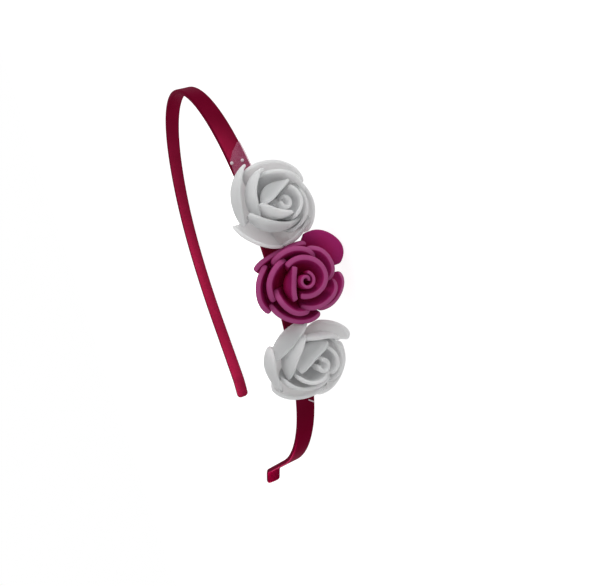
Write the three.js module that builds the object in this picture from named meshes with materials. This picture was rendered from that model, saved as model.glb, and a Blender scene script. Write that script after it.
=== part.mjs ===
// Flower headband: a C-shaped band covered in satin, with three foam roses glued side by side on one leg.
// Units are millimetres. The pieces are drawn with the band standing in the x-y plane: the crown of the
// band is at the origin, the legs run down towards -y, the rose leg is at +x, and z runs across the width
// of the band. At the end the whole headband is laid on its side, as it rests on a table, with +Z up.
import * as THREE from "three";
import { ConvexHull } from "three/addons/math/ConvexHull.js";

// Band
const BAND_WIDTH = 5;
const BAND_THICKNESS = 1.4;
const EDGE_CHAMFER = 0.4;
const TIP_ROUNDING = 1.8;
const TIP_STEPS = 4;
const STATION_STEP = 4.6;
const BEND_STEP = 1.4;

// One leg of the band, from the crown to its tip. Each row is an arc with its length and the degrees by
// which it turns towards the other leg. A negative turn bends outwards.
const LEG_ARCS = [
  { stretch: "crown", length: 90, turn: 77.5, step: STATION_STEP },
  { stretch: "temple", length: 30, turn: 32, step: STATION_STEP },
  { stretch: "cheek", length: 30, turn: 25, step: STATION_STEP },
  { stretch: "shank", length: 27, turn: 0, step: STATION_STEP },
  { stretch: "flip", length: 4, turn: -29, step: BEND_STEP },
  { stretch: "tip", length: 6, turn: 0, step: BEND_STEP },
];
const LEG_LENGTH = LEG_ARCS.reduce((sum, arc) => sum + arc.length, 0);

// The rose leg has been bent open at the cheek by a few degrees.
const ROSE_LEG_EASE = 2.3;

// How far each leg has sprung out of the plane of the band by the time it reaches its tip.
const ROSE_LEG_SPRING = 9;
const PLAIN_LEG_SPRING = 3.4;

// Foam petals
const PETAL_WALL = 0.7;
const BUD_WALL = 0.7;
const FIT_GAP = 0.35;
const FOOT_RADIUS = 1.5;
const FOOT_SPREAD = 0.68;
const CLAW_SHARE = 0.25;
const SPREAD_SHARE = [0.125, 0.35];
const RIM_POWER = 3;
const FOLD_START = 0.3;
const FOLD_DIP = 0.4;
const BUD_DROP = 0.12;
const DEGREES_PER_FACET = 12;
const BUD_DEGREES_PER_FACET = 19;
const ROWS = { outer: 5, middle: 5, inner: 4, bud: 3 };

// The bowls that the petals of a rose lie on, from the outside in. Each row gives the radius and the
// height above the band of three points up the petal, and the share by which its rim drops at the sides.
const OPEN_BOWLS = {
  outer: { foot: 2.2, belly: [6.6, 3.4], neck: [8.4, 6.2], rim: [9.4, 8.6], drop: 0.24 },
  middle: { foot: 3.6, belly: [4.9, 5.7], neck: [6.25, 8.2], rim: [7.1, 11.0], drop: 0.26 },
  inner: { foot: 5.0, belly: [3.15, 7.7], neck: [3.85, 9.8], rim: [4.4, 12.2], drop: 0.16 },
};
const CLOSED_BOWLS = {
  outer: { foot: 2.2, belly: [6.9, 3.2], neck: [9.2, 6.0], rim: [8.3, 9.5], drop: 0.22 },
  middle: { foot: 3.6, belly: [5.3, 5.4], neck: [6.8, 8.0], rim: [6.1, 11.1], drop: 0.24 },
  inner: { foot: 5.0, belly: [3.5, 7.4], neck: [4.5, 9.7], rim: [3.8, 12.3], drop: 0.2 },
};

// The petals, counted anticlockwise seen from the front. turn is where the middle of the petal stands,
// in degrees from the edge of the band that lies on the table towards the crown, and half is the angle
// that it covers to each side. open is how far its rim leans out, and flat how much of the rim's round
// is pulled straight between the two sides of the petal.
const PINK_PETALS = [
  { bowl: "outer", turn: 35, half: 31, open: 3.6, flat: 0 },
  { bowl: "outer", turn: 106, half: 44, open: 0.9, flat: 0.8 },
  { bowl: "outer", turn: 174, half: 39, open: 0, flat: 0 },
  { bowl: "outer", turn: 244, half: 43, open: 0, flat: 0 },
  { bowl: "outer", turn: 320, half: 35, open: 0.4, flat: 0 },
  { bowl: "middle", turn: 22, half: 42, open: 0.3, flat: 0 },
  { bowl: "middle", turn: 86, half: 46, open: 0, flat: 0 },
  { bowl: "middle", turn: 155, half: 47, open: 0, flat: 0 },
  { bowl: "middle", turn: 225, half: 46, open: 0, flat: 0 },
  { bowl: "middle", turn: 298, half: 47, open: 0.3, flat: 0 },
  { bowl: "inner", turn: 2, half: 122, open: 0, flat: 0 },
  { bowl: "inner", turn: 174, half: 64, open: 0, flat: 0.9 },
];
const UPPER_WHITE_PETALS = [
  { bowl: "outer", turn: 352, half: 41, open: 0, flat: 0 },
  { bowl: "outer", turn: 70, half: 46, open: 0.6, flat: 0 },
  { bowl: "outer", turn: 156, half: 44, open: 0.5, flat: 0.1 },
  { bowl: "outer", turn: 230, half: 33, open: 2.6, flat: 0 },
  { bowl: "outer", turn: 297, half: 32, open: -0.1, flat: 0.1 },
  { bowl: "middle", turn: 336, half: 54, open: -0.1, flat: 0 },
  { bowl: "middle", turn: 60, half: 54, open: 0, flat: 0 },
  { bowl: "middle", turn: 154, half: 58, open: 0, flat: 0.1 },
  { bowl: "middle", turn: 252, half: 58, open: 0, flat: 0.1 },
  { bowl: "inner", turn: 342, half: 55, open: 0, flat: 0 },
  { bowl: "inner", turn: 112, half: 68, open: 0, flat: 1 },
  { bowl: "inner", turn: 240, half: 55, open: 0, flat: 0.2 },
];
const LOWER_WHITE_PETALS = [
  { bowl: "outer", turn: 29, half: 34, open: 1.8, flat: 0 },
  { bowl: "outer", turn: 118, half: 40, open: -0.1, flat: 0.45 },
  { bowl: "outer", turn: 174, half: 39, open: 0.5, flat: 0.1 },
  { bowl: "outer", turn: 247, half: 44, open: 0, flat: 0.1 },
  { bowl: "outer", turn: 314, half: 44, open: 0, flat: 0 },
  { bowl: "middle", turn: 343, half: 56, open: 0, flat: 0 },
  { bowl: "middle", turn: 55, half: 43, open: 0.1, flat: 0 },
  { bowl: "middle", turn: 143, half: 54, open: 0, flat: 0.4 },
  { bowl: "middle", turn: 246, half: 58, open: 0, flat: 0.1 },
  { bowl: "inner", turn: 349, half: 52, open: 0, flat: 0 },
  { bowl: "inner", turn: 112, half: 72, open: 0.2, flat: 1 },
  { bowl: "inner", turn: 248, half: 58, open: 0, flat: 0 },
];

// The bud of a rose is one strip rolled up on itself. radius is the middle of the roll, wind how much it
// widens from its inner end to its outer end, half_turn half of the angle that it turns through, and
// aside how far it stands from the middle of the rose, away from the petal that closes over it.
const PINK_BUD = {
  foot: 8.4, top: 12.8, radius: 1.2, wind: 1.3, half_turn: 225, start: 200, aside: 0,
};
const UPPER_WHITE_BUD = {
  foot: 8.4, top: 11, radius: 1.1, wind: 0.5, half_turn: 150, start: 302, aside: 1.2,
};
const LOWER_WHITE_BUD = {
  foot: 8.4, top: 12, radius: 1.1, wind: 0.5, half_turn: 150, start: 300, aside: 1.2,
};

// The roses along the rose leg. station is the distance from the crown, shift moves the rose across the
// band towards the table, lean tips its face the same way and nod towards the tip of the leg. shingle is
// how far the anticlockwise edge of each petal stands outside its other edge, negative where it is tucked
// inside. crownward and tipward are the shares that are left of its two halves, pressed in by the next rose.
const ROSES = [
  {
    name: "rose_upper", foam: "white", bowls: CLOSED_BOWLS, petals: UPPER_WHITE_PETALS, bud: UPPER_WHITE_BUD,
    station: 58.7, shift: -0.7, lean: 16, nod: 6, size: 1.06, shingle: -1.15, crownward: 1, tipward: 0.94,
  },
  {
    name: "rose_middle", foam: "pink", bowls: OPEN_BOWLS, petals: PINK_PETALS, bud: PINK_BUD,
    station: 75.6, shift: 1.6, lean: 0, nod: 0, size: 1.07, shingle: 1.42, crownward: 0.95, tipward: 0.89,
  },
  {
    name: "rose_lower", foam: "white", bowls: CLOSED_BOWLS, petals: LOWER_WHITE_PETALS, bud: LOWER_WHITE_BUD,
    station: 91, shift: -2.6, lean: 12, nod: 0, size: 1.12, shingle: -1.15, crownward: 0.75, tipward: 0.9,
  },
];

// Hot glue. Under each rose is a pad on the band, with a post that the feet of the petals stand round.
const GLUE_SIDES = 14;
const PAD_RADIUS = 3;
const PAD_SHOULDER = 2.75;
const PAD_HEIGHT = 1;
const POST_RADIUS = 0.8;
const POST_HEIGHT = 8;

// Glue that has run out from under the upper rose lies on the band as a thin film. Each row gives a
// distance from the crown and the two edges of the film across the band there.
const FILM_THICKNESS = 0.4;
const FILM_ROWS = [
  { station: 37.5, table: -2.3, upper: -1.6 },
  { station: 40, table: -2.4, upper: 0.6 },
  { station: 42.5, table: -2.4, upper: 2.1 },
  { station: 46, table: -2.4, upper: 2.4 },
  { station: 50, table: -2.4, upper: 2.4 },
  { station: 54, table: -2.2, upper: 2.2 },
];

const MATERIALS = {
  satin: new THREE.MeshStandardMaterial({ color: "#8e1238", roughness: 0.4, metalness: 0 }),
  white: new THREE.MeshStandardMaterial({ color: "#e6e7e8", roughness: 0.7, metalness: 0 }),
  pink: new THREE.MeshStandardMaterial({ color: "#a03577", roughness: 0.7, metalness: 0 }),
  glue: new THREE.MeshStandardMaterial({ color: "#d9c9cf", roughness: 0.2, metalness: 0 }),
};

const radians = THREE.MathUtils.degToRad;
const smooth = THREE.MathUtils.smoothstep;

// The middle of the band at a signed distance from the crown, positive down the rose leg, with the
// direction towards the tip and the direction out of the loop.
function station(distance) {
  const side = Math.sign(distance) || 1;
  const travelled = Math.abs(distance);
  let angle = 0;
  let left = travelled;
  const at = new THREE.Vector2();
  for (const arc of LEG_ARCS) {
    const run = Math.min(left, arc.length);
    const ease = side > 0 && arc.stretch === "cheek" ? ROSE_LEG_EASE : 0;
    const bend = (radians(arc.turn - ease) * run) / arc.length;
    const chord = Math.abs(bend) < 1e-9 ? run : (2 * run * Math.sin(bend / 2)) / bend;
    at.x += chord * Math.cos(angle + bend / 2);
    at.y -= chord * Math.sin(angle + bend / 2);
    angle += bend;
    left -= run;
    if (left <= 0) break;
  }
  const spring = side > 0 ? ROSE_LEG_SPRING : PLAIN_LEG_SPRING;
  return {
    middle: new THREE.Vector3(side * at.x, at.y, spring * (travelled / LEG_LENGTH) ** 2),
    tipward: new THREE.Vector3(side * Math.cos(angle), -Math.sin(angle), 0),
    outward: new THREE.Vector3(side * Math.sin(angle), Math.cos(angle), 0),
  };
}

// Distances from the crown where the band gets a section, down one leg.
function legStations() {
  const distances = [];
  let start = 0;
  for (const arc of LEG_ARCS) {
    const steps = Math.ceil(arc.length / arc.step);
    for (let i = 0; i < steps; i++) distances.push(start + (arc.length * i) / steps);
    start += arc.length;
  }
  const straight = distances.filter((d) => d < LEG_LENGTH - TIP_ROUNDING);
  for (let i = 0; i < TIP_STEPS; i++) {
    const sweep = (Math.PI / 2) * (i / (TIP_STEPS - 1));
    straight.push(LEG_LENGTH - TIP_ROUNDING * (1 - Math.sin(sweep)));
  }
  return straight;
}

// Half of the width of the band, which rounds off at the tips.
function halfWidth(distance) {
  const past = Math.max(0, Math.abs(distance) - (LEG_LENGTH - TIP_ROUNDING));
  const rounded = Math.sqrt(Math.max(0, TIP_ROUNDING ** 2 - past ** 2));
  return BAND_WIDTH / 2 - TIP_ROUNDING + rounded;
}

// A point beside the middle of the band: z across its width and n out of the loop.
function offBand(middle, outward, z, n) {
  return middle.clone().addScaledVector(outward, n).add(new THREE.Vector3(0, 0, z));
}

// The chamfered section of the band, clockwise as seen looking towards the tip of the rose leg.
function bandSection(distance) {
  const { middle, outward } = station(distance);
  const across = halfWidth(distance);
  const out = BAND_THICKNESS / 2;
  const c = EDGE_CHAMFER;
  const corners = [
    [across, c - out], [across - c, -out], [c - across, -out], [-across, c - out],
    [-across, out - c], [c - across, out], [across - c, out], [across, out - c],
  ];
  return corners.map(([z, n]) => offBand(middle, outward, z, n));
}

// A closed surface through a row of rings of points, with flat ends.
function skin(rings) {
  const count = rings[0].length;
  const faces = [];
  for (let r = 0; r + 1 < rings.length; r++) {
    for (let i = 0; i < count; i++) {
      const j = (i + 1) % count;
      const [a, b, c, d] = [r * count + i, r * count + j, (r + 1) * count + j, (r + 1) * count + i];
      faces.push(a, b, c, a, c, d);
    }
  }
  const last = (rings.length - 1) * count;
  for (let i = 1; i + 1 < count; i++) faces.push(0, i + 1, i, last, last + i, last + i + 1);
  return surface(rings.flat(), faces);
}

// A closed wall between two grids of points, front and back. The diagonals of its facets mirror each other
// about the middle, so that both sides of a rim fall off alike.
function wall(front, back) {
  const rows = front.length;
  const columns = front[0].length;
  const faces = [];
  const index = (face, i, j) => face * rows * columns + i * columns + j;
  const quad = (a, b, c, d) => faces.push(a, b, c, a, c, d);
  const crossed = (a, b, c, d) => quad(b, c, d, a);
  for (let i = 0; i + 1 < rows; i++) {
    const facet = 2 * i + 1 < rows - 1 ? crossed : quad;
    for (let j = 0; j + 1 < columns; j++) {
      facet(index(0, i, j), index(0, i + 1, j), index(0, i + 1, j + 1), index(0, i, j + 1));
      facet(index(1, i, j), index(1, i, j + 1), index(1, i + 1, j + 1), index(1, i + 1, j));
    }
  }
  for (let i = 0; i + 1 < rows; i++) {
    const top = columns - 1;
    quad(index(0, i, 0), index(1, i, 0), index(1, i + 1, 0), index(0, i + 1, 0));
    quad(index(0, i, top), index(0, i + 1, top), index(1, i + 1, top), index(1, i, top));
  }
  for (let j = 0; j + 1 < columns; j++) {
    const end = rows - 1;
    quad(index(0, 0, j), index(0, 0, j + 1), index(1, 0, j + 1), index(1, 0, j));
    quad(index(0, end, j), index(1, end, j), index(1, end, j + 1), index(0, end, j + 1));
  }
  return surface([...front.flat(), ...back.flat()], faces);
}

function surface(points, faces) {
  const geometry = new THREE.BufferGeometry().setFromPoints(points);
  geometry.setIndex(faces);
  geometry.computeVertexNormals();
  return geometry;
}

function piece(name, geometry, material) {
  const mesh = new THREE.Mesh(geometry, material);
  mesh.name = name;
  return mesh;
}

function band() {
  const leg = legStations();
  const plainLeg = leg.slice(1).reverse().map((d) => -d);
  const rings = [...plainLeg, ...leg].map(bandSection);
  return piece("band", skin(rings), MATERIALS.satin);
}

// The line up the middle of a petal, from its foot to its rim, as radius and height.
function petalLine(bowl, open) {
  const [neckRadius, neckHeight] = bowl.neck;
  const [rimRadius, rimHeight] = bowl.rim;
  return new THREE.SplineCurve([
    new THREE.Vector2(FOOT_RADIUS, bowl.foot),
    new THREE.Vector2(...bowl.belly),
    new THREE.Vector2(neckRadius + open / 3, neckHeight),
    new THREE.Vector2(rimRadius + open, rimHeight - Math.max(0, open) / 2),
  ]);
}

// A point of a petal's middle surface. u runs from its clockwise edge at -1 to its other edge at 1,
// and v from the foot at 0 to the rim at 1. One edge of each petal tucks inside its neighbour.
function petalPoint(line, petal, drop, shingle, u, v) {
  const t = v * (1 - drop * Math.abs(u) ** RIM_POWER);
  const at = line.getPoint(t);
  const along = line.getTangent(t);
  const tuck = (shingle / 2) * Math.sin((u * Math.PI) / 2) * smooth(t, 0, CLAW_SHARE);
  const radius = at.x + along.y * tuck;
  const height = at.y - along.x * tuck;
  const spread = FOOT_SPREAD + (1 - FOOT_SPREAD) * smooth(t, ...SPREAD_SHARE);
  const half = radians(petal.half) * spread;
  const round = radius * Math.cos(half * u);
  const flattened = round + petal.flat * smooth(t, FOLD_START, 1) * (radius * Math.cos(half) - round);
  const dip = FOLD_DIP * (round - flattened);
  return new THREE.Vector3(flattened, radius * Math.sin(half * u), height - dip);
}

// A point of the rolled bud, with u and v as on a petal.
function budPoint(bud, u, v) {
  const radius = bud.radius + (bud.wind / 2) * u;
  const angle = radians(bud.half_turn * u);
  const height = bud.foot + (bud.top - bud.foot) * v * (1 - BUD_DROP * u * u);
  return new THREE.Vector3(bud.aside + radius * Math.cos(angle), radius * Math.sin(angle), height);
}

// A foam wall over a middle surface given as a function of u and v.
function foamWall(point, columns, rows, thickness) {
  const reach = 1e-3;
  const front = [];
  const back = [];
  for (let i = 0; i <= columns; i++) {
    const u = -1 + (2 * i) / columns;
    front.push([]);
    back.push([]);
    for (let j = 0; j <= rows; j++) {
      const v = j / rows;
      const across = point(u + reach, v).sub(point(u - reach, v));
      const up = point(u, Math.min(1, v + reach)).sub(point(u, Math.max(0, v - reach)));
      const out = across.cross(up).setLength(thickness / 2);
      front[i].push(point(u, v).add(out));
      back[i].push(point(u, v).sub(out));
    }
  }
  return wall(front, back);
}

function rosePetals(rose) {
  const counts = { outer: 0, middle: 0, inner: 0 };
  return rose.petals.map((petal) => {
    const bowl = rose.bowls[petal.bowl];
    const line = petalLine(bowl, petal.open);
    const columns = Math.round((2 * petal.half) / DEGREES_PER_FACET);
    const point = (u, v) => petalPoint(line, petal, bowl.drop, rose.shingle, u, v);
    const shape = foamWall(point, columns, ROWS[petal.bowl], PETAL_WALL).rotateZ(radians(petal.turn));
    counts[petal.bowl] += 1;
    return piece(`${rose.name}_${petal.bowl}_petal_${counts[petal.bowl]}`, shape, MATERIALS[rose.foam]);
  });
}

function roseBud(rose) {
  const columns = Math.round((2 * rose.bud.half_turn) / BUD_DEGREES_PER_FACET);
  const shape = foamWall((u, v) => budPoint(rose.bud, u, v), columns, ROWS.bud, BUD_WALL);
  return piece(`${rose.name}_bud`, shape.rotateZ(radians(rose.bud.start)), MATERIALS[rose.foam]);
}

// Presses the two halves of a rose in along the band, where it meets its neighbours.
function press(mesh, rose) {
  const place = mesh.geometry.getAttribute("position");
  for (let i = 0; i < place.count; i++) {
    const y = place.getY(i);
    place.setY(i, y * (y > 0 ? rose.crownward : rose.tipward));
  }
  return mesh;
}

// The film lies just off the outer face of the band.
function glueFilm() {
  const low = BAND_THICKNESS / 2 + FIT_GAP;
  const high = low + FILM_THICKNESS;
  const rings = FILM_ROWS.map((row) => {
    const { middle, outward } = station(row.station);
    const corners = [[row.table, high], [row.upper, high], [row.upper, low], [row.table, low]];
    return corners.map(([z, n]) => offBand(middle, outward, z, n));
  });
  return piece("glue_film", skin(rings), MATERIALS.glue);
}

function glueMound(rose) {
  const outline = [
    [0, FIT_GAP], [PAD_RADIUS, FIT_GAP], [PAD_SHOULDER, PAD_HEIGHT], [POST_RADIUS, PAD_HEIGHT + FIT_GAP],
    [POST_RADIUS, POST_HEIGHT], [0, POST_HEIGHT],
  ];
  const lathe = new THREE.LatheGeometry(outline.map(([r, h]) => new THREE.Vector2(r, h)), GLUE_SIDES);
  lathe.rotateX(Math.PI / 2);
  return piece(`${rose.name}_glue`, lathe, MATERIALS.glue);
}

// A rose stands on the outer face of the band, with its own x axis towards the table and y to the crown.
function placedRose(rose) {
  const { middle, tipward, outward } = station(rose.station);
  const crownward = tipward.clone().negate();
  const tableward = crownward.clone().cross(outward);
  const group = new THREE.Group();
  group.add(glueMound(rose), ...[roseBud(rose), ...rosePetals(rose)].map((mesh) => press(mesh, rose)));
  group.quaternion.setFromRotationMatrix(new THREE.Matrix4().makeBasis(tableward, crownward, outward));
  group.rotateY(radians(rose.lean));
  group.rotateX(radians(rose.nod));
  const lift = PAD_RADIUS * rose.size * Math.sin(radians(Math.abs(rose.lean) + Math.abs(rose.nod)));
  group.position.copy(middle).addScaledVector(outward, BAND_THICKNESS / 2 + lift);
  group.position.addScaledVector(tableward, rose.shift);
  group.scale.setScalar(rose.size);
  return group;
}

// The middle of the volume of everything in a group, in the group's own frame.
function centreOfVolume(group) {
  const centre = new THREE.Vector3();
  let total = 0;
  group.updateMatrixWorld(true);
  group.traverse((mesh) => {
    if (!mesh.isMesh) return;
    const flat = mesh.geometry.toNonIndexed().applyMatrix4(mesh.matrixWorld).getAttribute("position");
    const [a, b, c] = [new THREE.Vector3(), new THREE.Vector3(), new THREE.Vector3()];
    for (let i = 0; i < flat.count; i += 3) {
      [a, b, c].forEach((corner, k) => corner.fromBufferAttribute(flat, i + k));
      const volume = a.dot(b.clone().cross(c)) / 6;
      centre.addScaledVector(a.add(b).add(c), volume / 4);
      total += volume;
    }
  });
  return centre.divideScalar(total);
}

// The direction that points straight down when the headband lies on its side: square to the face of its
// convex hull that its weight falls inside.
function restingDown(group) {
  const weight = centreOfVolume(group);
  const steep = 0.9;
  for (const face of new ConvexHull().setFromObject(group).faces) {
    if (face.normal.z > -steep) continue;
    const corners = [face.edge, face.edge.next, face.edge.prev].map((edge) => edge.head().point);
    const foot = face.normal.clone().multiplyScalar(-face.distanceToPoint(weight)).add(weight);
    if (new THREE.Triangle(...corners).containsPoint(foot)) return face.normal.clone();
  }
  throw new Error("the headband has no face to lie on");
}

const upright = new THREE.Group();
upright.add(band(), glueFilm(), ...ROSES.map(placedRose));

const headband = new THREE.Group();
const down = restingDown(upright);
upright.quaternion.setFromUnitVectors(down, new THREE.Vector3(0, 0, -1));
headband.add(upright);
const box = new THREE.Box3().setFromObject(headband, true);
const centre = box.getCenter(new THREE.Vector3());
upright.position.set(-centre.x, -centre.y, -box.min.z);

export default headband;
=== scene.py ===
# %% [markdown]
# # A flower headband
# A narrow C-shaped band covered in crimson satin carries three foam roses, glued side by side on one leg:
# white, magenta and white. Here the headband lies on its side on a table, as it would by itself. Every piece
# is made in the frame of the solids, which are loaded first and never moved. Sizes are written in
# millimetres, and laying a finished mesh down turns them to metres.

# %% Load the frame
import math

import bpy
from mathutils import Matrix, Quaternion, Vector


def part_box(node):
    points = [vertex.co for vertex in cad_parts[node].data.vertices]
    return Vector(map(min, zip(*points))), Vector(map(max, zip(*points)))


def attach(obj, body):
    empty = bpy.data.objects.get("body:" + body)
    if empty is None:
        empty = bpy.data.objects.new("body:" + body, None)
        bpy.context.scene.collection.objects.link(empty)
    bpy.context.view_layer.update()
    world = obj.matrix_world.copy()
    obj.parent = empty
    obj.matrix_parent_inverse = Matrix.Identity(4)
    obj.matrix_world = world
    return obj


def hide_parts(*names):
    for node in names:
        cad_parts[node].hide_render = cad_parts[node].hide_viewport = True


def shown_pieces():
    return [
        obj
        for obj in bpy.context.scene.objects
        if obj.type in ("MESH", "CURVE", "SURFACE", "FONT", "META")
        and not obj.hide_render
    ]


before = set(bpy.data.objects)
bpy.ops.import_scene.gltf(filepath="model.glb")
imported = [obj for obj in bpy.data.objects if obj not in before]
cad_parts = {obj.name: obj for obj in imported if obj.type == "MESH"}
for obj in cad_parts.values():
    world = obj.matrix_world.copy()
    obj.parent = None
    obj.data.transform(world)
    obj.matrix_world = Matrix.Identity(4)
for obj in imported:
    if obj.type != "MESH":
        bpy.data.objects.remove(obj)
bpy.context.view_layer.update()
MM = 0.001


# %% [markdown]
# ## A short way to write node trees
# Shapes and finishes are both made of nodes here. Written link by link they would be hard to read, so one
# small class wraps a socket and lets Python's operators add the Math nodes. Any other node comes from the one
# method of the tree class, which takes the node's type, its settings and its sockets.

# %% Signals and trees
class Signal:
    """An output socket that Python's operators can work on."""

    def __init__(self, tree, socket):
        self.tree = tree
        self.socket = socket

    def output(self, name):
        """Another output of the same node."""
        return Signal(self.tree, self.socket.node.outputs[name])

    def math(self, operation, *values):
        return self.tree.node("ShaderNodeMath", {"operation": operation}, dict(enumerate((self, *values))))

    def __add__(self, other):
        return self.math("ADD", other)

    def __sub__(self, other):
        return self.math("SUBTRACT", other)

    def __rsub__(self, other):
        return self.tree.node("ShaderNodeMath", {"operation": "SUBTRACT"}, {0: other, 1: self})

    def __mul__(self, other):
        return self.math("MULTIPLY", other)

    def __pow__(self, other):
        return self.math("POWER", other)

    __radd__ = __add__
    __rmul__ = __mul__


class Tree:
    """A node tree, with one method that adds a node and gives back one of its outputs."""

    def __init__(self, nodes):
        self.nodes = nodes

    def node(self, kind, settings=None, sockets=None, output=0):
        made = self.nodes.nodes.new(kind)
        for name, value in (settings or {}).items():
            setattr(made, name, value)
        for name, value in (sockets or {}).items():
            by_identifier = {socket.identifier: socket for socket in made.inputs}
            socket = by_identifier.get(name) or made.inputs[name]
            if isinstance(value, Signal):
                self.nodes.links.new(value.socket, socket)
            else:
                socket.default_value = value
        return Signal(self, made.outputs[output]) if len(made.outputs) else made

    def smooth(self, value, start, end):
        """0 before start, 1 after end and a soft S between."""
        return self.node("ShaderNodeMapRange", {"interpolation_type": "SMOOTHSTEP"}, {
            "Value": value, "From Min": start, "From Max": end, "To Min": 0.0, "To Max": 1.0})

    def scaled(self, vector, factor):
        return self.node("ShaderNodeVectorMath", {"operation": "SCALE"}, {0: vector, "Scale": factor})


print("signals and trees ready")

# %% [markdown]
# ## From a tree to a plain mesh
# A Geometry Nodes tree runs as a modifier on an object. By hand one would press Apply. The script copies the
# evaluated result to a new mesh instead, because that also works on a curve and on an empty mesh. Instances
# are made real first, so that the mesh holds every face.

# %% Meshes and pieces
SOCKETS = {"float": "NodeSocketFloat", "int": "NodeSocketInt", "material": "NodeSocketMaterial",
           "geometry": "NodeSocketGeometry", "object": "NodeSocketObject"}


def geometry_tree(name, inputs):
    """A new Geometry Nodes tree with named inputs, its Signals for them, and their identifiers."""
    nodes = bpy.data.node_groups.new(name, "GeometryNodeTree")
    identifiers = {}
    for label, kind in inputs.items():
        item = nodes.interface.new_socket(label, in_out="INPUT", socket_type=SOCKETS[kind])
        identifiers[label] = item.identifier
    nodes.interface.new_socket("Geometry", in_out="OUTPUT", socket_type=SOCKETS["geometry"])
    tree = Tree(nodes)
    start = tree.node("NodeGroupInput")
    return tree, {label: start.output(label) for label in inputs}, identifiers


def with_map(tree, shape, chart):
    """The shape with a UV map from a vector."""
    return tree.node("GeometryNodeStoreNamedAttribute", {"data_type": "FLOAT2", "domain": "CORNER"},
                     {"Geometry": shape, "Name": "UVMap", "Value": chart})


def finish_tree(tree, shape, material):
    """The end of every tree: instances made real, smooth faces and the material."""
    real = tree.node("GeometryNodeRealizeInstances", None, {"Geometry": shape})
    soft = tree.node("GeometryNodeSetShadeSmooth", None, {"Geometry": real})
    done = tree.node("GeometryNodeSetMaterial", None, {"Geometry": soft, "Material": material})
    tree.node("NodeGroupOutput", None, {"Geometry": done})


def in_scene(name, data):
    made = bpy.data.objects.new(name, data)
    bpy.context.scene.collection.objects.link(made)
    return made


def grow(name, seed, tree, identifiers, values, finishing=()):
    """Runs a tree on a seed object, adds finishing modifiers, and returns the plain mesh."""
    seed = seed or in_scene(name, bpy.data.meshes.new(name))
    modifier = seed.modifiers.new("shape", "NODES")
    modifier.node_group = tree.nodes
    for label, value in values.items():
        modifier[identifiers[label]] = value
    for kind, settings in finishing:
        extra = seed.modifiers.new(kind.lower(), kind)
        for setting, value in settings.items():
            setattr(extra, setting, value)
    evaluated = seed.evaluated_get(bpy.context.evaluated_depsgraph_get())
    mesh = bpy.data.meshes.new_from_object(evaluated)
    bpy.data.objects.remove(seed)
    mesh.name = name
    return mesh


def add_piece(name, mesh, slot, *nodes):
    """Puts a finished mesh in the scene, in place of its solids if it has any."""
    piece = in_scene(name, mesh)
    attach(piece, "root")
    if nodes:
        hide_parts(*nodes)
    return piece


print("mesh helpers ready")

# %% [markdown]
# ## Where things are
# The band is drawn standing, with its crown at the origin and its legs running down, and is then laid on its
# side. Six arcs give each leg, and the last bend flips the tip outwards. The rose leg has been bent open a
# little at the cheek, and both legs have sprung out of the plane, so the headband lies slightly tilted. The
# tilt is a turn about one line, and the shift comes from the box of the band's solid.

# %% The line of the band
BAND_WIDTH = 5.0
BAND_THICKNESS = 1.4
LEG_ARCS = [
    {"stretch": "crown", "length": 90, "turn": 77.5},
    {"stretch": "temple", "length": 30, "turn": 32},
    {"stretch": "cheek", "length": 30, "turn": 25},
    {"stretch": "shank", "length": 27, "turn": 0},
    {"stretch": "flip", "length": 4, "turn": -29},
    {"stretch": "tip", "length": 6, "turn": 0},
]
LEG_LENGTH = sum(arc["length"] for arc in LEG_ARCS)
ROSE_LEG_EASE = 2.3
ROSE_LEG_SPRING = 9.0
PLAIN_LEG_SPRING = 3.4
STRAIGHT = 1e-9


def station(distance):
    """Middle of the band, direction to the tip and direction out of the loop, at a distance from the crown.

    Distances down the rose leg are positive, those down the plain leg negative.
    """
    side = -1 if distance < 0 else 1
    left = abs(distance)
    angle = 0.0
    x = y = 0.0
    for arc in LEG_ARCS:
        run = min(left, arc["length"])
        ease = ROSE_LEG_EASE if side > 0 and arc["stretch"] == "cheek" else 0
        bend = math.radians(arc["turn"] - ease) * run / arc["length"]
        chord = run if abs(bend) < STRAIGHT else 2 * run * math.sin(bend / 2) / bend
        x += chord * math.cos(angle + bend / 2)
        y -= chord * math.sin(angle + bend / 2)
        angle += bend
        left -= run
        if left <= 0:
            break
    spring = ROSE_LEG_SPRING if side > 0 else PLAIN_LEG_SPRING
    middle = Vector((side * x, y, spring * (distance / LEG_LENGTH) ** 2))
    tipward = Vector((side * math.cos(angle), -math.sin(angle), 0))
    outward = Vector((side * math.sin(angle), math.cos(angle), 0))
    return middle, tipward, outward


print("half of the band is", LEG_LENGTH, "mm")

# %% Laid on the table
REST_AXIS = Vector((0.69675, -0.71731, 0))
REST_TILT = math.radians(5.3313)
tilt = Quaternion(REST_AXIS, REST_TILT).to_matrix().to_4x4()


def band_corners():
    """The four edges of the band, tilted but not yet shifted."""
    for distance in range(-LEG_LENGTH, LEG_LENGTH + 1):
        middle, _, outward = station(distance)
        for across in (-BAND_WIDTH / 2, BAND_WIDTH / 2):
            for out in (-BAND_THICKNESS / 2, BAND_THICKNESS / 2):
                yield tilt @ (middle + outward * out + Vector((0, 0, across)))


def middle_of(values):
    return (max(values) + min(values)) / 2


tilted = list(band_corners())
low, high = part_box("band")
shift = Vector(((low.x + high.x) / 2 / MM - middle_of([c.x for c in tilted]),
                (low.y + high.y) / 2 / MM - middle_of([c.y for c in tilted]),
                low.z / MM - min(c.z for c in tilted)))
REST = Matrix.Scale(MM, 4) @ Matrix.Translation(shift) @ tilt
print("crown at", [round(c, 2) for c in shift])

# %% [markdown]
# ## Camera
# The camera keeps the photograph's angle to the headband. Its place was worked out from the curve of the two
# legs, and it is given in millimetres from the crown of the standing band, then laid down with it. An aimed
# camera with a Track To constraint would be simpler, but could not hold the slight roll of the picture.

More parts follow.
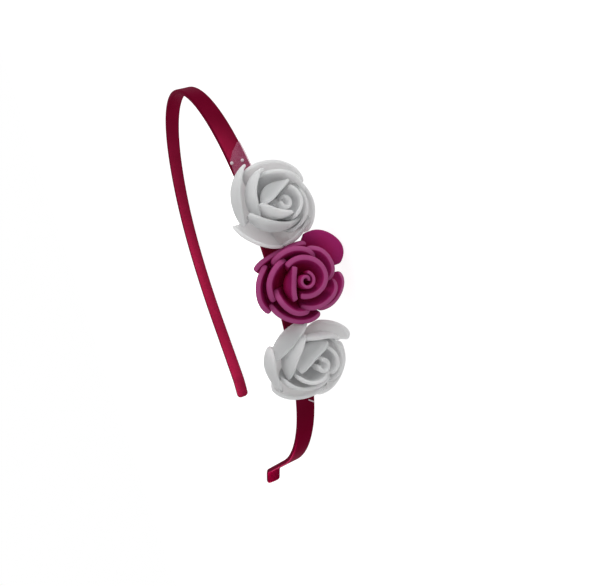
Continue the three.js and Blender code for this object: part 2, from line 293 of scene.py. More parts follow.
# %% Camera
CAMERA_PLACE = Vector((169.8, 22.9, 35.5))
CAMERA_RIGHT = Vector((0.403, -0.149, -0.903))
CAMERA_UP = Vector((-0.402, 0.858, -0.321))
LENS = 32.5
CLIP_START = 0.005

camera = in_scene("camera", bpy.data.cameras.new("camera"))
bpy.context.scene.camera = camera
camera.data.lens = LENS
camera.data.clip_start = CLIP_START
turned = tilt.to_3x3()
right = (turned @ CAMERA_RIGHT).normalized()
back = right.cross(turned @ CAMERA_UP).normalized()
up = back.cross(right)
aim = Matrix((right, up, back)).transposed().to_4x4()
camera.matrix_world = Matrix.Translation(REST @ CAMERA_PLACE) @ aim
print("camera at", [round(c, 4) for c in camera.location])

# %% [markdown]
# ## Satin
# The band is covered in satin ribbon, whose long threads give it a deep gloss along its length. A picture of
# cloth could be wrapped round it, but the threads are finer than any picture. Sine waves on the band's own
# UV map, which is in millimetres, draw the threads and the floats between them. The gloss is mostly metallic,
# because satin tints what it mirrors with its own colour.

# %% Satin
def new_material(name):
    material = bpy.data.materials.new(name)
    material.use_nodes = True
    material.node_tree.nodes.clear()
    return material, Tree(material.node_tree)


def mixed(tree, factor, first, second):
    """A blend of two colours."""
    return tree.node("ShaderNodeMix", {"data_type": "RGBA"},
                     {"Factor_Float": factor, "A_Color": first, "B_Color": second}, 2)


def rgb(*values):
    return (*values, 1.0)


THREAD = 0.16
FLOAT_LENGTH = 0.5
FLOAT_STAGGER = 1.2
THREAD_RISE = 0.5
FLOAT_RISE = 0.25
GRAIN_RISE = 1.2
GRAIN_STRETCH = (0.25, 6.0, 1.0)
CLOUD_SHARE = 0.6
SATIN_DEEP = rgb(0.12, 0.0035, 0.0145)
SATIN_LIGHT = rgb(0.215, 0.008, 0.035)
SATIN_EDGE = rgb(0.8, 0.34, 0.46)


def satin_material():
    material, tree = new_material("crimson_satin")
    place = tree.node("ShaderNodeTexCoord", output="UV")
    along = tree.node("ShaderNodeSeparateXYZ", None, {"Vector": place})
    around = along.output("Y")
    thread = (around * (2 * math.pi / THREAD)).math("SINE")
    weave = (along * (2 * math.pi / FLOAT_LENGTH) + thread * FLOAT_STAGGER).math("SINE")
    stretched = tree.node("ShaderNodeVectorMath", {"operation": "MULTIPLY"}, {0: place, 1: GRAIN_STRETCH})
    grain = tree.node("ShaderNodeTexNoise", None, {"Vector": stretched, "Scale": 1.0})
    cloud = tree.node("ShaderNodeTexNoise", None, {
        "Vector": tree.node("ShaderNodeTexCoord", output="Object"), "Scale": 90.0, "Detail": 3.0})
    colour = mixed(tree, cloud * CLOUD_SHARE + grain * (1 - CLOUD_SHARE), SATIN_DEEP, SATIN_LIGHT)
    height = thread * THREAD_RISE + weave * FLOAT_RISE + grain * GRAIN_RISE
    bump = tree.node("ShaderNodeBump", None, {"Strength": 0.25, "Distance": 0.03 * MM, "Height": height})
    shader = tree.node("ShaderNodeBsdfPrincipled", None, {
        "Base Color": colour, "Roughness": 0.34 + grain * 0.16, "Normal": bump, "Specular IOR Level": 0.0,
        "Metallic": 0.75, "Specular Tint": SATIN_EDGE})
    tree.node("ShaderNodeOutputMaterial", None, {"Surface": shader})
    return material


satin = satin_material()
print("made", satin.name)

# %% [markdown]
# ## Foam
# The roses are cut from thin craft foam, which is matt, slightly velvety and full of tiny cells, and white
# foam lets light through. Towards the feet of the petals the colour is painted shade: a little darker in the
# white foam and redder in the magenta, as it looks deep between the petals. The rims are paler, partly from
# scuffed cut edges and partly from a painted highlight where they catch the light. The height up the petal
# is in its UV map, so the rim and the foot need no image mask.

# %% Foam
# The first range is where the painted shade at the feet of the petals gives way to the colour of the face.
FOOT_SHADE_TO_FACE = (0.25, 0.85)
MOTTLING = 0.4
# The next two set the paler rims: partly scuffed cut edges, partly a painted highlight on the rims.
RIM_WEAR_AND_HIGHLIGHT_START = 0.94
RIM_WEAR_AND_HIGHLIGHT_COVER = 0.8
CELL_RISE = 0.6
SKIN_RISE = 0.8
LIGHT_REACH = 9.0 * MM


# The rim colour is paler partly for scuffed cut edges and partly as a painted highlight where rims catch the
# light.
def foam_material(name, foot, face, rim, lit_through):
    material, tree = new_material(name)
    place = tree.node("ShaderNodeTexCoord", output="Object")
    chart = tree.node("ShaderNodeTexCoord", output="UV")
    up_petal = tree.node("ShaderNodeSeparateXYZ", None, {"Vector": chart}).output("Y")
    cloud = tree.node("ShaderNodeTexNoise", None, {"Vector": place, "Scale": 260.0, "Detail": 4.0})
    cells = tree.node("ShaderNodeTexVoronoi", None, {"Vector": place, "Scale": 5200.0})
    skin = tree.node("ShaderNodeTexNoise", None, {"Vector": place, "Scale": 1900.0, "Detail": 2.0})
    # Painted shade: towards the feet of the petals the colour turns to the foot colour, as deep between the
    # petals.
    body = mixed(tree, tree.smooth(up_petal + (cloud - 0.5) * MOTTLING, *FOOT_SHADE_TO_FACE), foot, face)
    # Paler rims: partly scuffed cut edges, partly a painted highlight where the rims catch the light.
    colour = mixed(tree, tree.smooth(up_petal, RIM_WEAR_AND_HIGHLIGHT_START, 1.0) * RIM_WEAR_AND_HIGHLIGHT_COVER, body, rim)
    height = cells * CELL_RISE + skin * SKIN_RISE
    bump = tree.node("ShaderNodeBump", None, {"Strength": 0.3, "Distance": 0.05 * MM, "Height": height})
    shader = tree.node("ShaderNodeBsdfPrincipled", None, {
        "Base Color": colour, "Roughness": 0.62 + skin * 0.2, "Normal": bump, "Specular IOR Level": 0.12,
        "Subsurface Weight": lit_through, "Subsurface Scale": LIGHT_REACH,
        "Subsurface Radius": (1.0, 0.95, 0.95)})
    tree.node("ShaderNodeOutputMaterial", None, {"Surface": shader})
    return material


# In each foam, foot is a painted shade colour for the feet of the petals, deep between them.
FOAM = {
    "white": foam_material(
        "white_foam", foot=rgb(0.95, 0.95, 0.955), face=rgb(0.97, 0.97, 0.975), rim=rgb(0.98, 0.98, 0.98),
        lit_through=1.0),
    "pink": foam_material(
        "magenta_foam", foot=rgb(0.44, 0.003, 0.075), face=rgb(0.31, 0.01, 0.112), rim=rgb(0.44, 0.083, 0.25),
        lit_through=0.1),
}
print("made", [material.name for material in FOAM.values()])

# %% [markdown]
# ## Glue
# Hot glue sets milky and shiny. Spread thin it only veils the satin. The drops are coloured nearly white,
# partly milky glue and partly a painted glint where they catch the light. Real glass-like glue would need
# transmission, which is slow to render, so Alpha lets the satin show through a plain shiny surface.

# %% Glue finish
def glue_material(name, clear, milky, cover):
    material, tree = new_material(name)
    place = tree.node("ShaderNodeTexCoord", output="Object")
    streak = tree.node("ShaderNodeTexNoise", None, {"Vector": place, "Scale": 700.0, "Detail": 3.0})
    bump = tree.node("ShaderNodeBump", None, {"Strength": 0.35, "Distance": 0.1 * MM, "Height": streak})
    shader = tree.node("ShaderNodeBsdfPrincipled", None, {
        "Base Color": mixed(tree, streak, clear, milky), "Roughness": 0.15 + streak * 0.2,
        "Alpha": cover + streak * 0.24, "Normal": bump, "Specular IOR Level": 0.2})
    tree.node("ShaderNodeOutputMaterial", None, {"Surface": shader})
    return material


GLUE = {
    "film": glue_material("glue_film", clear=rgb(0.42, 0.05, 0.15), milky=rgb(0.62, 0.22, 0.35), cover=0.16),
    # The drops' near-white colour is partly milky glue and partly a painted glint.
    "bead": glue_material("glue_bead", clear=rgb(0.80, 0.66, 0.72), milky=rgb(0.92, 0.84, 0.88), cover=0.7),
}
print("made", [material.name for material in GLUE.values()])

# %% [markdown]
# ## Band
# A ribbon is wrapped tightly round a flat strip. That makes the band a section swept along a path. A curve
# with a bevel object would do it, but Curve to Mesh in Geometry Nodes can also note the way along and round
# the band for the satin. The section is a flat strip with round corners, and the path is the line of the
# band. Towards the tips the path's radius falls, so the ends close in a soft round. The sweep leaves the faces
# pointing inwards, and Flip Faces turns them out.

# %% Band path and section
CORNER = 0.5
CORNER_STEPS = 5
TIP_ROUNDING = 1.8
TIP_STEPS = 6
TIP_END = 0.28


def curve_object(name, points, radii, closed):
    """A curve of straight pieces through points, with a radius for each."""
    curve = bpy.data.curves.new(name, "CURVE")
    curve.dimensions = "3D"
    curve.twist_mode = "Z_UP"
    spline = curve.splines.new("POLY")
    spline.points.add(len(points) - 1)
    for point, place, radius in zip(spline.points, points, radii):
        point.co = (*place, 1.0)
        point.radius = radius
    spline.use_cyclic_u = closed
    return in_scene(name, curve)


def band_path():
    """Points from the plain tip to the rose tip, closer together where the tips are rounded."""
    half = [float(d) for d in range(1, LEG_LENGTH - 1)]
    for step in range(TIP_STEPS + 1):
        half.append(LEG_LENGTH - TIP_ROUNDING * (1 - math.sin(math.radians(90 * step / TIP_STEPS))))
    distances = [-d for d in reversed(half)] + [0.0] + half
    radii = []
    for d in distances:
        past = max(0.0, abs(d) - LEG_LENGTH + TIP_ROUNDING) / TIP_ROUNDING
        radii.append(TIP_END + (1 - TIP_END) * math.sqrt(max(0.0, 1 - past * past)))
    return [station(d)[0] for d in distances], radii


def band_section():
    """The outline of the strip with its ribbon, as (into the loop, towards the table)."""
    half = BAND_WIDTH / 2 - CORNER
    out = BAND_THICKNESS / 2 - CORNER
    outline = []
    for middle, first in (((-out, half), 180), ((out, half), 90), ((out, -half), 0), ((-out, -half), -90)):
        for step in range(CORNER_STEPS + 1):
            angle = math.radians(first - 90 * step / CORNER_STEPS)
            outline.append((middle[0] + CORNER * math.cos(angle), middle[1] + CORNER * math.sin(angle)))
    return [(-n, -z, 0.0) for n, z in outline]


print("section points:", len(band_section()))

# %% Band
def band_tree():
    tree, inputs, identifiers = geometry_tree(
        "ribbon_band", {"Path": "geometry", "Section": "object", "Material": "material"})
    length = tree.node("GeometryNodeSplineParameter", output="Length")

    def noted(shape, name):
        return tree.node("GeometryNodeStoreNamedAttribute", {"data_type": "FLOAT", "domain": "POINT"},
                         {"Geometry": shape, "Name": name, "Value": length})

    def recalled(name):
        return tree.node("GeometryNodeInputNamedAttribute", {"data_type": "FLOAT"}, {"Name": name})

    section = tree.node("GeometryNodeObjectInfo", None, {"Object": inputs["Section"]}, "Geometry")
    tube = tree.node("GeometryNodeCurveToMesh", None, {
        "Curve": noted(inputs["Path"], "along"), "Profile Curve": noted(section, "around"),
        "Scale": tree.node("GeometryNodeInputRadius"), "Fill Caps": True})
    outwards = tree.node("GeometryNodeFlipFaces", None, {"Mesh": tube})
    chart = tree.node("ShaderNodeCombineXYZ", None, {"X": recalled("along"), "Y": recalled("around")})
    finish_tree(tree, with_map(tree, outwards, chart), inputs["Material"])
    return tree, identifiers


def make_band():
    points, radii = band_path()
    outline = band_section()
    section = curve_object("band_section", outline, [1.0] * len(outline), True)
    path = curve_object("band_path", points, radii, False)
    mesh = grow("satin_band", path, *band_tree(), {"Section": section, "Material": satin})
    bpy.data.objects.remove(section)
    mesh.transform(REST)
    return add_piece("satin_band", mesh, "satin", "band")


print("band faces:", len(make_band().data.polygons))

# %% [markdown]
# ## The petal rule
# Each petal is cut from a flat sheet of foam and pressed into a bowl. It could be sculpted, but there are 36
# of them and all follow one rule: a line from the foot to the rim is swung round the axis of the rose, one
# edge tucks under the next petal, and the rim may be pulled straight. So one tree bends a grid by that rule
# and gives the middle of the wall. u runs from edge to edge, v from the foot to the rim, and t is v with the
# corners of the rim cut lower.

# %% The petal rule
FOOT_RADIUS = 1.5
FOOT_SPREAD = 0.95
SPREAD_SHARE = (0.125, 0.35)
FOLD_START = 0.3
FOLD_DIP = 0.4
BOWL_PARTS = ("Foot", "Belly", "Neck", "Rim")


def through(t, values):
    """A cubic through four values, at t of 0, one third, two thirds and 1."""
    a, b, c, d = t, t - 1 / 3, t - 2 / 3, t - 1.0
    return (b * c * d * (values[0] * -4.5) + a * c * d * (values[1] * 13.5)
            + a * b * d * (values[2] * -13.5) + a * b * c * (values[3] * 4.5))


def bowl_place(tree, inputs, t, u):
    """A point of the bowl, with the rim pulled straight as far as Flat says."""
    radius = through(t, [inputs[part + " Radius"] for part in BOWL_PARTS])
    height = through(t, [inputs[part + " Height"] for part in BOWL_PARTS])
    spread = FOOT_SPREAD + (1 - FOOT_SPREAD) * tree.smooth(t, *SPREAD_SHARE)
    half = inputs["Half Angle"].math("RADIANS") * spread
    bowed = radius * (half * u).math("COSINE")
    chord = radius * half.math("COSINE")
    pulled = inputs["Flat"] * tree.smooth(t, FOLD_START, 1.0) * (bowed - chord)
    return tree.node("ShaderNodeCombineXYZ", None, {
        "X": bowed - pulled, "Y": radius * (half * u).math("SINE"), "Z": height - pulled * FOLD_DIP})


print("bowl through", len(BOWL_PARTS), "heights")

# %% [markdown]
# ## Tuck, roll and dents
# On a real rose each petal slips under its neighbour at one edge and lies over the other, its rim curls a
# little, and pressing leaves shallow dents. A Displace modifier could make the dents alone. Moving the wall
# along its own normal does all three at once, with a seed for each petal so that no two are dented alike.

# %% Tuck, roll and dents
CLAW_SHARE = 0.25
ROLL_START = 0.6
DENT_SCALE = 0.22
DENT_SHARE = (0.2, 0.8)


def wall_lift(tree, inputs, t, u, v, place):
    """How far the wall moves along its normal: one edge under, the other over, a rolled rim and soft dents."""
    dents = tree.node("ShaderNodeTexNoise", {"noise_dimensions": "4D"}, {
        "Vector": place, "W": inputs["Seed"], "Scale": DENT_SCALE, "Detail": 1.0}) - 0.5
    return (inputs["Tuck"] * (u * (math.pi / 2)).math("SINE") * tree.smooth(t, 0.0, CLAW_SHARE)
            + inputs["Roll"] * tree.smooth(v, ROLL_START, 1.0)
            + inputs["Dent"] * dents * tree.smooth(t, *DENT_SHARE))


def place_in_rose(tree, inputs, place):
    """The petal turned to its place, and pressed towards the crown and the tip like the whole rose."""
    turned = tree.node("ShaderNodeVectorRotate", {"rotation_type": "Z_AXIS"}, {
        "Vector": place, "Angle": inputs["Turn"].math("RADIANS")})
    axes = tree.node("ShaderNodeSeparateXYZ", None, {"Vector": turned})
    along = axes.output("Y")
    pressed = along.math("MAXIMUM", 0.0) * inputs["Crownward"] + along.math("MINIMUM", 0.0) * inputs["Tipward"]
    return tree.node("ShaderNodeCombineXYZ", None, {"X": axes, "Y": pressed, "Z": axes.output("Z")})


print("tuck, roll and dents ready")

# %% [markdown]
# ## The petal tree
# The rules come together in one tree: a flat grid is bent to the bowl, moved along its normals and turned to
# its place. Each step is a Set Position node of its own, because the next one has to read the normals of the
# shape before it. The rows of the grid crowd towards the rim, where the foam bends most.

# %% The petal tree
RIM_CROWDING = 1.25
CORNER_FALL = 3
PETAL_SIZES = (
    *(part + size for part in BOWL_PARTS for size in (" Radius", " Height")), "Rim Drop", "Half Angle", "Turn",
    "Tuck", "Flat", "Roll", "Dent", "Seed", "Crownward", "Tipward")


def petal_tree():
    tree, inputs, identifiers = geometry_tree("foam_petal", {
        "Columns": "int", "Rows": "int", **{label: "float" for label in PETAL_SIZES}, "Material": "material"})
    grid = tree.node("GeometryNodeMeshGrid", None, {
        "Size X": 1.0, "Size Y": 1.0, "Vertices X": inputs["Columns"], "Vertices Y": inputs["Rows"]})
    chart = tree.node("ShaderNodeSeparateXYZ", None, {"Vector": grid.output("UV Map")})
    u = chart * 2 - 1
    v = 1 - (1 - chart.output("Y")) ** RIM_CROWDING
    t = v * (1 - inputs["Rim Drop"] * u.math("ABSOLUTE") ** CORNER_FALL)
    shape = tree.node("GeometryNodeSetPosition", None, {
        "Geometry": grid, "Position": bowl_place(tree, inputs, t, u)})
    place = tree.node("GeometryNodeInputPosition")
    lift = tree.scaled(tree.node("GeometryNodeInputNormal"), wall_lift(tree, inputs, t, u, v, place))
    shape = tree.node("GeometryNodeSetPosition", None, {"Geometry": shape, "Offset": lift})
    shape = tree.node("GeometryNodeSetPosition", None, {
        "Geometry": shape, "Position": place_in_rose(tree, inputs, place)})
    finish_tree(tree, with_map(tree, shape, grid.output("UV Map")), inputs["Material"])
    return tree, identifiers


PETAL = petal_tree()
print("petal tree:", len(PETAL[0].nodes.nodes), "nodes")

# %% [markdown]
# ## The roses
# Short tables hold what differs from petal to petal, as the solids have it. turn is where a petal stands,
# half the angle it covers to each side, open how far its rim leans out and flat how straight the rim is
# pulled. The magenta rose is open, with its rims apart. The white ones are nearly shut, with their petals
# folded over each other. A bowl gives the radius and height of a petal's belly, neck and rim.

# %% Bowls and petals
OPEN_BOWLS = {
    "outer": {"foot": 2.2, "belly": (6.6, 3.4), "neck": (8.4, 6.2), "rim": (9.4, 8.6), "drop": 0.24},
    "middle": {"foot": 3.6, "belly": (4.9, 5.7), "neck": (6.25, 8.2), "rim": (7.1, 11.0), "drop": 0.26},
    "inner": {"foot": 5.0, "belly": (3.15, 7.7), "neck": (3.85, 9.8), "rim": (4.4, 12.2), "drop": 0.16},
}
CLOSED_BOWLS = {
    "outer": {"foot": 2.2, "belly": (6.9, 3.2), "neck": (9.2, 6.0), "rim": (8.3, 9.5), "drop": 0.22},
    "middle": {"foot": 3.6, "belly": (5.3, 5.4), "neck": (6.8, 8.0), "rim": (6.1, 11.1), "drop": 0.24},
    "inner": {"foot": 5.0, "belly": (3.5, 7.4), "neck": (4.5, 9.7), "rim": (3.8, 12.3), "drop": 0.2},
}
COLUMNS = ("bowl", "turn", "half", "open", "flat")
PINK_PETALS = [
    ("outer", 35, 31, 3.6, 0), ("outer", 106, 44, 0.9, 0.8), ("outer", 174, 39, 0, 0),
    ("outer", 244, 43, 0, 0), ("outer", 320, 35, 0.4, 0),
    ("middle", 22, 42, 0.3, 0), ("middle", 86, 46, 0, 0), ("middle", 155, 47, 0, 0),
    ("middle", 225, 46, 0, 0), ("middle", 298, 47, 0.3, 0),
    ("inner", 2, 122, 0, 0), ("inner", 174, 64, 0, 0.9),
]
UPPER_WHITE_PETALS = [
    ("outer", 352, 41, 0, 0), ("outer", 70, 46, 0.6, 0), ("outer", 156, 44, 0.5, 0.1),
    ("outer", 230, 33, 2.6, 0), ("outer", 297, 32, -0.1, 0.1),
    ("middle", 336, 54, -0.1, 0), ("middle", 60, 54, 0, 0), ("middle", 154, 58, 0, 0.1),
    ("middle", 252, 58, 0, 0.1),
    ("inner", 342, 55, 0, 0), ("inner", 112, 68, 0, 1), ("inner", 240, 55, 0, 0.2),
]
LOWER_WHITE_PETALS = [
    ("outer", 29, 34, 1.8, 0), ("outer", 118, 40, -0.1, 0.45), ("outer", 174, 39, 0.5, 0.1),
    ("outer", 247, 44, 0, 0.1), ("outer", 314, 44, 0, 0),
    ("middle", 343, 56, 0, 0), ("middle", 55, 43, 0.1, 0), ("middle", 143, 54, 0, 0.4),
    ("middle", 246, 58, 0, 0.1),
    ("inner", 349, 52, 0, 0), ("inner", 112, 72, 0.2, 1), ("inner", 248, 58, 0, 0),
]
print("petals:", len(PINK_PETALS) + len(UPPER_WHITE_PETALS) + len(LOWER_WHITE_PETALS))

# %% [markdown]
# ## Where the roses stand
# station is the distance from the crown, shift the way across the band, and lean and nod tip the rose. wall
# is the thickness of the foam, roll turns the broad rims of the magenta rose out a little, and widen laps
# petals further where a seam would show. shingle is how far one edge of a petal goes under and the other over
# its neighbours. crownward and tipward press the rose flatter on those sides.

# %% Roses
ROSES = [
    {"name": "rose_upper", "foam": "white", "bowls": CLOSED_BOWLS, "petals": UPPER_WHITE_PETALS,
     "wall": 0.7, "roll": 0.0, "widen": 3, "shingle": -1.15, "crownward": 1, "tipward": 0.94,
     "bud": {"foot": 8.4, "top": 11, "radius": 1.1, "wind": 0.5, "half_turn": 150, "start": 302, "aside": 1.2},
     "station": 58.7, "shift": -0.7, "lean": 16, "nod": 6, "size": 1.06},
    {"name": "rose_middle", "foam": "pink", "bowls": OPEN_BOWLS, "petals": PINK_PETALS,
     "wall": 1.25, "roll": 0.15, "widen": 0, "shingle": 1.42, "crownward": 0.95, "tipward": 0.89,
     "bud": {"foot": 8.4, "top": 12.8, "radius": 1.2, "wind": 1.3, "half_turn": 225, "start": 200, "aside": 0},
     "station": 75.6, "shift": 1.6, "lean": 0, "nod": 0, "size": 1.07},
    {"name": "rose_lower", "foam": "white", "bowls": CLOSED_BOWLS, "petals": LOWER_WHITE_PETALS,
     "wall": 0.7, "roll": 0.0, "widen": 0, "shingle": -1.15, "crownward": 0.75, "tipward": 0.9,
     "bud": {"foot": 8.4, "top": 12, "radius": 1.1, "wind": 0.5, "half_turn": 150, "start": 300, "aside": 1.2},
     "station": 91, "shift": -2.6, "lean": 12, "nod": 0, "size": 1.12},
]
PAD_RADIUS = 3.0


def rose_place(rose):
    """Where a rose stands on the band: its own x runs to the table, y to the crown and z out of the loop."""
    middle, tipward, outward = station(rose["station"])
    crownward = -tipward
    tableward = crownward.cross(outward)
    basis = Matrix((tableward, crownward, outward)).transposed().to_4x4()
    lean = math.radians(rose["lean"])
    nod = math.radians(rose["nod"])
    leaning = Matrix.Rotation(lean, 4, "Y") @ Matrix.Rotation(nod, 4, "X")
    lift = PAD_RADIUS * rose["size"] * math.sin(abs(lean) + abs(nod))
    foot = middle + outward * (BAND_THICKNESS / 2 + lift) + tableward * rose["shift"]
    return REST @ Matrix.Translation(foot) @ basis @ leaning @ Matrix.Scale(rose["size"], 4)


print("roses:", [rose["name"] for rose in ROSES])

# %% [markdown]
# ## Petals
# The tree gives each petal as a bent sheet without thickness. Solidify gives the foam its wall, equally to
# both sides of the sheet, and Subdivision Surface rounds the cut rims as soft foam rounds itself. Each petal
# is a piece of its own, in place of its solid.

# %% Petals
PETAL_ROWS = 9
FEWEST_COLUMNS = 7
DEGREES_A_COLUMN = 4
NECK_LEAN = 1 / 3
RIM_SINK = 1 / 2
DENT = 0.5
SEED_STEP = 3.7


def softened(wall):
    """Foam thickness and rounded rims."""
    return [
        ("SOLIDIFY", {"thickness": wall, "offset": 0.0, "use_even_offset": True}),
        ("SUBSURF", {"levels": 2, "render_levels": 2}),
    ]


def petal_values(rose, petal, seed):
    bowl = rose["bowls"][petal["bowl"]]
    lean = petal["open"]
    return {
        "Columns": max(FEWEST_COLUMNS, round(petal["half"] / DEGREES_A_COLUMN)), "Rows": PETAL_ROWS,
        "Foot Radius": FOOT_RADIUS, "Foot Height": bowl["foot"],
        "Belly Radius": bowl["belly"][0], "Belly Height": bowl["belly"][1],
        "Neck Radius": bowl["neck"][0] + lean * NECK_LEAN, "Neck Height": bowl["neck"][1],
        "Rim Radius": bowl["rim"][0] + lean, "Rim Height": bowl["rim"][1] - max(0, lean) * RIM_SINK,
        "Rim Drop": bowl["drop"], "Half Angle": float(petal["half"] + rose["widen"]),
        "Turn": float(petal["turn"]), "Tuck": rose["shingle"] / 2, "Flat": float(petal["flat"]),
        "Roll": rose["roll"], "Dent": DENT, "Seed": SEED_STEP * seed,
        "Crownward": float(rose["crownward"]), "Tipward": float(rose["tipward"]),
        "Material": FOAM[rose["foam"]],
    }


def make_petals(rose):
    counts = {"outer": 0, "middle": 0, "inner": 0}
    for seed, row in enumerate(rose["petals"], 1):
        petal = dict(zip(COLUMNS, row))
        counts[petal["bowl"]] += 1
        node = f"{rose['name']}_{petal['bowl']}_petal_{counts[petal['bowl']]}"
        mesh = grow(node, None, *PETAL, petal_values(rose, petal, seed), softened(rose["wall"]))
        mesh.transform(rose_place(rose))
        add_piece(node + "_foam", mesh, rose["foam"] + "_foam", node)


for rose in ROSES:
    make_petals(rose)
print("petal pieces:", len([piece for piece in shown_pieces() if "petal" in piece.name]))

# %% [markdown]
# ## Buds
# In the middle of each rose one strip of foam is rolled up on itself. It could be a curve with a thickness,
# but its top also dips towards both ends. It is a spiral wall, so a second small tree winds a grid up, and
# the same two modifiers make it foam.

# %% Buds
BUD_ROWS = 6
BUD_COLUMNS = 26
BUD_WALL = 0.8
BUD_DIP = 0.12
BUD_SIZES = ("Foot", "Top", "Radius", "Wind", "Half Turn", "Start", "Aside")


def bud_tree():
    tree, inputs, identifiers = geometry_tree("rolled_bud", {
        "Columns": "int", **{label: "float" for label in BUD_SIZES}, "Material": "material"})
    grid = tree.node("GeometryNodeMeshGrid", None, {
        "Size X": 1.0, "Size Y": 1.0, "Vertices X": inputs["Columns"], "Vertices Y": BUD_ROWS})
    chart = tree.node("ShaderNodeSeparateXYZ", None, {"Vector": grid.output("UV Map")})
    u = chart * 2 - 1
    v = chart.output("Y")
    radius = inputs["Radius"] + inputs["Wind"] * u * 0.5
    angle = (inputs["Half Turn"] * u).math("RADIANS")
    height = inputs["Foot"] + (inputs["Top"] - inputs["Foot"]) * v * (1 - u * u * BUD_DIP)
    spiral = tree.node("ShaderNodeCombineXYZ", None, {
        "X": inputs["Aside"] + radius * angle.math("COSINE"), "Y": radius * angle.math("SINE"), "Z": height})
    turned = tree.node("ShaderNodeVectorRotate", {"rotation_type": "Z_AXIS"}, {
        "Vector": spiral, "Angle": inputs["Start"].math("RADIANS")})
    shape = tree.node("GeometryNodeSetPosition", None, {"Geometry": grid, "Position": turned})
    finish_tree(tree, with_map(tree, shape, grid.output("UV Map")), inputs["Material"])
    return tree, identifiers


BUD = bud_tree()


def make_bud(rose):
    sizes = {label: float(rose["bud"][label.lower().replace(" ", "_")]) for label in BUD_SIZES}
    node = rose["name"] + "_bud"
    mesh = grow(node, None, *BUD, {
        "Columns": BUD_COLUMNS, **sizes, "Material": FOAM[rose["foam"]]}, softened(BUD_WALL))
    mesh.transform(rose_place(rose))
    add_piece(node + "_foam", mesh, rose["foam"] + "_foam", node)


for rose in ROSES:
    make_bud(rose)
print("bud pieces:", len([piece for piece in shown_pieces() if "bud" in piece.name]))

# %% [markdown]
# ## Glue on the band
# Hot glue holds the roses. It sits in a mound under each one and has run out as a thin film along the band
# above the upper rose. Both could be made again as softer meshes, but they are plain and mostly hidden, so
# the solids stay and only get a finish. The mounds take the colour of the rose that is pressed into them.

# %% Glue on the band
for name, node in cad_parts.items():
    if "glue" in name:
        rose = next((rose for rose in ROSES if name.startswith(rose["name"])), None)
        node.data.materials.clear()
        node.data.materials.append(FOAM[rose["foam"]] if rose else GLUE["film"])
print("glue pieces:", [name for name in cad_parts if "glue" in name])

# %% [markdown]
# ## Drops and a strand of glue
# Two small drops of glue stand on the film, and a short strand has been pulled out across the band under the
# lower rose. Their nearly white colour is partly milky glue and partly a painted glint. Modelled by hand they
# would be a few squashed balls. One small tree puts the same ball on every point it is given, so two points
# make the drops, and a close row of points makes the strand.

# %% Drops and strand
BALL_SUBDIVISIONS = 4
STRAND_BALLS = 6
STRAND_STEP = 0.24
STRAND_START = (108, -0.8)
GLUE_DROPS = [
    {"name": "glue_beads", "radius": 0.42, "out": 1.4, "places": [(43.5, 2.0), (43.5, -0.75)]},
    {"name": "glue_strand", "radius": 0.19, "out": 0.82,
     "places": [(STRAND_START[0] + STRAND_STEP * ball, STRAND_START[1] - STRAND_STEP * ball)
                for ball in range(STRAND_BALLS)]},
]


def drop_tree():
    tree, inputs, identifiers = geometry_tree("glue_drops", {
        "Places": "geometry", "Radius": "float", "Material": "material"})
    ball = tree.node("GeometryNodeMeshIcoSphere", None, {
        "Radius": inputs["Radius"], "Subdivisions": BALL_SUBDIVISIONS})
    balls = tree.node("GeometryNodeInstanceOnPoints", None, {"Points": inputs["Places"], "Instance": ball})
    finish_tree(tree, balls, inputs["Material"])
    return tree, identifiers


DROP = drop_tree()


def make_drops(drops):
    """Balls of glue at places given as (distance from the crown, across the band)."""
    points = []
    for distance, across in drops["places"]:
        middle, _, outward = station(distance)
        points.append(middle + outward * drops["out"] + Vector((0, 0, across)))
    places = bpy.data.meshes.new(drops["name"])
    places.from_pydata(points, [], [])
    mesh = grow(drops["name"], in_scene(drops["name"], places), *DROP, {
        "Radius": drops["radius"], "Material": GLUE["bead"]})
    mesh.transform(REST)
    return add_piece(drops["name"], mesh, "glue")


for drops in GLUE_DROPS:
    print(drops["name"], "faces:", len(make_drops(drops).data.polygons))

# %% [markdown]
# ## Table and white wall
# The photograph has a clean white background. A table that glows a little, and brighter further out, keeps a
# faint shade under the headband and then runs into a white wall all round. Both are hidden from bounced light
# and mirrors, so that they light nothing and the lamps alone shape the piece. Their sizes are in metres.

# %% Table
TABLE_HALF = 6.0
GLOW_NEAR = rgb(0.84, 0.84, 0.84)
GLOW_FAR = rgb(1, 1, 1)
GLOW_SHARE = (0.1, 0.5)
TABLE_GREY = rgb(0.4, 0.4, 0.4)


def table_material():
    material, tree = new_material("pale_table")
    place = tree.node("ShaderNodeTexCoord", output="Object")
    away = tree.node("ShaderNodeVectorMath", {"operation": "LENGTH"}, {0: place}, "Value")
    glow = mixed(tree, tree.smooth(away, *GLOW_SHARE), GLOW_NEAR, GLOW_FAR)
    shader = tree.node("ShaderNodeBsdfPrincipled", None, {
        "Base Color": TABLE_GREY, "Roughness": 1.0, "Specular IOR Level": 0.0,
        "Emission Color": glow, "Emission Strength": 1.0})
    tree.node("ShaderNodeOutputMaterial", None, {"Surface": shader})
    return material


def stage_piece(name, points, faces, material, hidden_from):
    mesh = bpy.data.meshes.new(name)
    mesh.from_pydata(points, [], faces)
    mesh.materials.append(material)
    made = in_scene(name, mesh)
    for kind in hidden_from:
        setattr(made, "visible_" + kind, False)


corners = [(x * TABLE_HALF, y * TABLE_HALF, 0) for x, y in ((-1, -1), (1, -1), (1, 1), (-1, 1))]
stage_piece("table_top", corners, [(0, 1, 2, 3)], table_material(), ("diffuse", "glossy"))
print("table", 2 * TABLE_HALF, "m wide")

# %% White wall
WALL_RADIUS = 5.0
WALL_RINGS = 8
WALL_SIDES = 24
WALL_DROP = 0.1


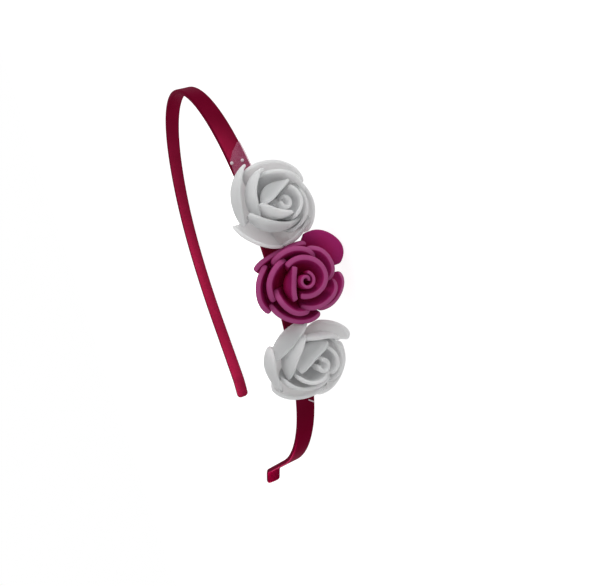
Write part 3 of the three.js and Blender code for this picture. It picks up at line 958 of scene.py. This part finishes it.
def dome():
    """Points and faces of half a ball, open below."""
    points = []
    for ring in range(WALL_RINGS + 1):
        rise = math.pi / 2 * ring / WALL_RINGS
        reach = WALL_RADIUS * math.cos(rise)
        for side in range(WALL_SIDES):
            bearing = 2 * math.pi * side / WALL_SIDES
            points.append((reach * math.cos(bearing), reach * math.sin(bearing),
                           WALL_RADIUS * math.sin(rise) - WALL_DROP))
    faces = []
    for ring in range(WALL_RINGS):
        for side in range(WALL_SIDES):
            beside = (side + 1) % WALL_SIDES
            lower, upper = ring * WALL_SIDES, (ring + 1) * WALL_SIDES
            faces.append((lower + side, upper + side, upper + beside, lower + beside))
    return points, faces


def wall_material():
    material, tree = new_material("white_wall")
    glow = tree.node("ShaderNodeEmission", None, {"Color": rgb(1, 1, 1), "Strength": 1.0})
    tree.node("ShaderNodeOutputMaterial", None, {"Surface": glow})
    return material


stage_piece("white_dome", *dome(), wall_material(),
            ("diffuse", "glossy", "transmission", "shadow", "volume_scatter"))
print("wall", WALL_RADIUS, "m away")

# %% [markdown]
# ## Light
# A soft light high above shades the roses. Satin only shines where it mirrors a lamp to the camera, so the
# other lamps are low strips that stand where the band mirrors them: before the roses, beyond the crown,
# inside the loop for the plain leg, and one at each tip. An even white room fills the rest. Places and sizes
# of the lamps are in metres.

# %% Light
LIGHT_COLUMNS = ("name", "place", "target", "size", "watts")
LIGHTS = [
    ("high_light", (0.05, 0.28, 0.30), (0.06, 0.03, 0.01), (0.24, 0.24), 0.15),
    ("front_light", (0.44, 0.235, 0.04), (0.0, 0.0, 0.01), (0.55, 0.06), 0.15),
    ("crown_light", (0.01, 0.52, 0.035), (0.03, 0.05, 0.012), (0.25, 0.06), 0.58),
    ("loop_light", (0.0, 0.012, 0.02), (-0.07, -0.01, 0.004), (0.07, 0.03), 0.042),
    ("rose_tip_light", (0.015, -0.13, 0.02), (0.03, -0.05, 0.012), (0.05, 0.03), 0.026),
    ("plain_tip_light", (0.0, -0.062, 0.02), (-0.033, -0.062, 0.004), (0.03, 0.02), 0.014),
]
ROOM_LIGHT = 0.56


def soft_light(name, place, target, size, watts):
    light = bpy.data.lights.new(name, "AREA")
    light.shape = "RECTANGLE"
    light.size, light.size_y = size
    light.energy = watts
    made = in_scene(name, light)
    made.visible_camera = False
    made.location = place
    made.rotation_euler = (Vector(target) - Vector(place)).to_track_quat("-Z", "Y").to_euler()


for row in LIGHTS:
    soft_light(**dict(zip(LIGHT_COLUMNS, row)))
world = bpy.data.worlds.new("white_room")
bpy.context.scene.world = world
world.use_nodes = True
room = world.node_tree.nodes["Background"].inputs
room["Color"].default_value = rgb(1, 1, 1)
room["Strength"].default_value = ROOM_LIGHT
bpy.context.scene.view_settings.view_transform = "Standard"
print("lights:", [row[0] for row in LIGHTS])
